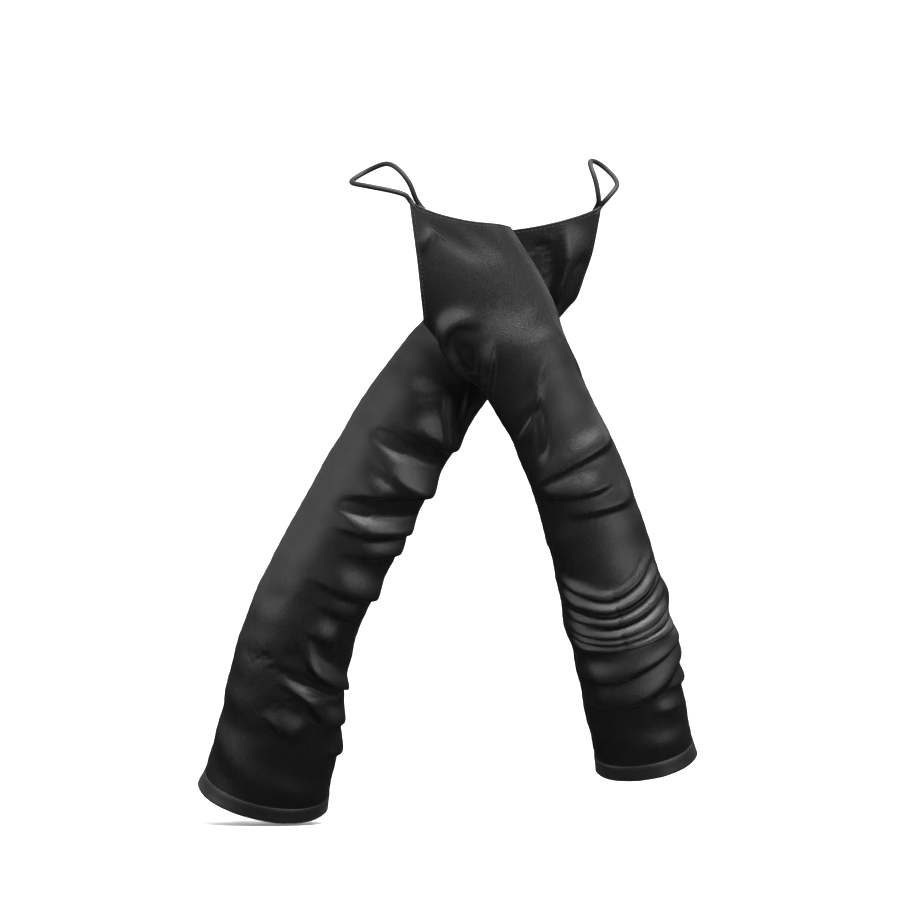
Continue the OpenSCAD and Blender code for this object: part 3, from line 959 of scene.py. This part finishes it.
def cloth_material(name, dark, light, roughness, thread_mm, grain, sheen, anisotropy=0.0):
    """A woven black cloth: long floating threads, a fine grain and a little unevenness of tone."""
    material, nodes, links, shader = new_material(name)
    place = nodes.new("ShaderNodeUVMap")
    place.uv_map = "cloth"
    stretch = nodes.new("ShaderNodeMapping")
    stretch.inputs["Scale"].default_value = (1000 / thread_mm, 1000 / (thread_mm * FLOAT_LENGTH), 1)
    links.new(place.outputs["UV"], stretch.inputs["Vector"])
    threads = add_noise(nodes, links, stretch.outputs["Vector"], 1, 3)
    rough_grain = add_noise(nodes, links, place.outputs["UV"], GRAIN_SCALE, 4)
    broad = add_noise(nodes, links, place.outputs["UV"], TONE_SCALE, 3)
    add_tones(nodes, links, shader, broad, dark, light)
    spread = nodes.new("ShaderNodeMapRange")
    spread.inputs["To Min"].default_value = roughness - ROUGHNESS_VARIES
    spread.inputs["To Max"].default_value = roughness + ROUGHNESS_VARIES
    links.new(rough_grain, spread.inputs["Value"])
    links.new(spread.outputs["Result"], shader.inputs["Roughness"])
    fine = add_bump(nodes, links, threads, FINE_BUMP, grain)
    coarse = add_bump(nodes, links, rough_grain, COARSE_BUMP, grain)
    links.new(fine.outputs["Normal"], coarse.inputs["Normal"])
    links.new(coarse.outputs["Normal"], shader.inputs["Normal"])
    shader.inputs["Specular IOR Level"].default_value = CLOTH_SPECULAR
    shader.inputs["Sheen Weight"].default_value = sheen
    shader.inputs["Sheen Roughness"].default_value = SHEEN_ROUGHNESS
    shader.inputs["Anisotropic"].default_value = anisotropy
    if anisotropy:
        tangent = nodes.new("ShaderNodeTangent")
        tangent.direction_type = "UV_MAP"
        tangent.uv_map = "cloth"
        links.new(tangent.outputs["Tangent"], shader.inputs["Tangent"])
    return material


THREAD_DARK = (0.012, 0.012, 0.012)
THREAD_LIGHT = (0.03, 0.028, 0.028)
THREAD_GRAIN_SCALE = 2600
THREAD_BUMP = 0.06 * MM
THREAD_ROUGHNESS = 0.6


def thread_material():
    """Matt black sewing thread, a little lighter than the satin."""
    material, nodes, links, shader = new_material("sewing_thread")
    place = nodes.new("ShaderNodeTexCoord")
    grain = add_noise(nodes, links, place.outputs["Object"], THREAD_GRAIN_SCALE)
    bump = add_bump(nodes, links, grain, THREAD_BUMP)
    links.new(bump.outputs["Normal"], shader.inputs["Normal"])
    add_tones(nodes, links, shader, grain, THREAD_DARK, THREAD_LIGHT)
    shader.inputs["Roughness"].default_value = THREAD_ROUGHNESS
    return material


# --------------------------------------------------
# Camera, floor and lights
# --------------------------------------------------
VIEW_CENTRE = Vector((0.1184, -0.06, 0.2205))
VIEW_WIDTH = 0.567
VIEW_DISTANCE = 4.0
SENSOR_MM = 36

# The stage: how far its floor reaches towards the camera, where its curve starts, the curve's
# radius and how many steps it takes, and how high and wide the backdrop is
STAGE_FRONT = -5.0
CURVE_START = 0.7
CURVE_RADIUS = 0.6
CURVE_STEPS = 14
CURVE_FIRST_TURN = 0.1
STAGE_HEIGHT = 3.0
STAGE_HALF_WIDTH = 3.0
STAGE_DROP = 2 * MM     # the floor lies this far under the gloves


def make_camera():
    """A long lens, level, straight in front of the gloves."""
    data = bpy.data.cameras.new("camera")
    camera = bpy.data.objects.new("camera", data)
    bpy.context.scene.collection.objects.link(camera)
    camera.location = VIEW_CENTRE - Vector((0, VIEW_DISTANCE, 0))
    camera.rotation_euler = (math.pi / 2, 0, 0)
    data.sensor_width = SENSOR_MM
    data.lens = SENSOR_MM * VIEW_DISTANCE / VIEW_WIDTH
    bpy.context.scene.camera = camera


def make_stage(material):
    """A pale floor that curves up into a backdrop."""
    floor = cad_box[0][2] - STAGE_DROP
    line = [(STAGE_FRONT, 0.0), (CURVE_START, 0.0)]
    for turn in np.linspace(CURVE_FIRST_TURN, math.pi / 2, CURVE_STEPS):
        back, up = CURVE_RADIUS * math.sin(turn), CURVE_RADIUS - CURVE_RADIUS * math.cos(turn)
        line.append((CURVE_START + back, up))
    line.append((CURVE_START + CURVE_RADIUS, STAGE_HEIGHT))
    points = [(x, y, floor + z) for y, z in line for x in (-STAGE_HALF_WIDTH, STAGE_HALF_WIDTH)]
    faces = [(2 * k, 2 * k + 1, 2 * k + 3, 2 * k + 2) for k in range(len(line) - 1)]
    obj = mesh_object("backdrop", points, faces)
    obj.data.materials.append(material)
    shade_smooth(obj)
    obj.visible_glossy = False


STAGE_DARK = (0.86, 0.86, 0.86)
STAGE_LIGHT = (0.9, 0.9, 0.9)
STAGE_PATCH_SCALE = 3
STAGE_ROUGHNESS = 0.9
STAGE_SPECULAR = 0.1


def stage_material():
    """Matt white on the side that faces the gloves, and clear on the other, so no view is blocked."""
    material, nodes, links, shader = new_material("stage_white")
    place = nodes.new("ShaderNodeTexCoord")
    patches = add_noise(nodes, links, place.outputs["Object"], STAGE_PATCH_SCALE)
    add_tones(nodes, links, shader, patches, STAGE_DARK, STAGE_LIGHT)
    shader.inputs["Roughness"].default_value = STAGE_ROUGHNESS
    shader.inputs["Specular IOR Level"].default_value = STAGE_SPECULAR
    side = nodes.new("ShaderNodeNewGeometry")
    clear = nodes.new("ShaderNodeBsdfTransparent")
    mix = nodes.new("ShaderNodeMixShader")
    links.new(side.outputs["Backfacing"], mix.inputs["Fac"])
    links.new(shader.outputs["BSDF"], mix.inputs[1])
    links.new(clear.outputs["BSDF"], mix.inputs[2])
    links.new(mix.outputs["Shader"], nodes["Material Output"].inputs["Surface"])
    return material


# Each soft light: where it stands, its width and height in metres, and its power in watts
LIGHTS = {
    "key": ((1.9, -1.7, 0.4), (1.2, 0.7), 24),
    "fill": ((-2.1, -1.0, 0.95), (2.0, 1.6), 30),
    "top": ((0.9, -0.9, 2.2), (1.4, 0.9), 90),
    "front": ((0.43, -1.8, 1.85), (1.0, 0.7), 40),
    "back left": ((-1.3, 1.0, 0.9), (0.9, 0.9), 3),
    "back right": ((1.6, 1.0, 1.3), (0.9, 0.9), 8),
    "backdrop": ((0.1, 0.5, 2.4), (3.0, 1.0), 60),
}
BACKDROP_AIM = Vector((0.1, 1.2, 0.3))
WORLD_STRENGTH = 0.03


def make_lights():
    """The soft lights, all turned to the gloves but the backdrop's own, and a faint even glow."""
    for name, (at, size, power) in LIGHTS.items():
        data = bpy.data.lights.new(name, "AREA")
        data.shape = "RECTANGLE"
        data.size, data.size_y = size
        data.energy = power
        light = bpy.data.objects.new(name, data)
        bpy.context.scene.collection.objects.link(light)
        light.location = at
        aim = VIEW_CENTRE if name != "backdrop" else BACKDROP_AIM
        light.rotation_euler = (aim - Vector(at)).to_track_quat("-Z", "Y").to_euler()
    world = bpy.data.worlds.new("studio")
    world.use_nodes = True
    world.node_tree.nodes["Background"].inputs["Color"].default_value = (1, 1, 1, 1)
    world.node_tree.nodes["Background"].inputs["Strength"].default_value = WORLD_STRENGTH
    bpy.context.scene.world = world
    bpy.context.scene.view_settings.view_transform = "Standard"


SATIN = cloth_material("satin", **CLOTHS["satin"])
HEM_SATIN = cloth_material("hem_satin", **CLOTHS["hem_satin"])
SEAM_SATIN = cloth_material("seam_satin", **CLOTHS["seam_satin"])
LOOP_CORD = cloth_material("loop_cord", **CLOTHS["loop_cord"])
THREAD = thread_material()

make_camera()
for name in GLOVES:
    finger_loop(name, LOOP_CORD)
make_stage(stage_material())
make_lights()

for name in GLOVES:
    sleeve = Sleeve(name)
    half = sleeve.columns // 2
    thumb = sleeve.glove["thumb_angle"]
    back = panel(sleeve, name + "_back_panel", 0, half, SATIN)
    palm = panel(sleeve, name + "_palm_panel", half, 2 * half, SATIN)
    seam(sleeve, name + "_thumb_seam", thumb, SEAM_SATIN)
    seam(sleeve, name + "_outer_seam", 180 - thumb, SEAM_SATIN)
    arm_hem(sleeve, HEM_SATIN)
    hem_stitching(sleeve, THREAD)
    hand_edge(sleeve, name + "_back_edge", 0, half, HEM_SATIN)
    hand_edge(sleeve, name + "_palm_edge", half, 2 * half, HEM_SATIN)
    edge_stitching(sleeve, name + "_back_stitching", 0, half, THREAD)
    edge_stitching(sleeve, name + "_palm_stitching", half, 2 * half, THREAD)
    bar_tack(sleeve, THREAD)
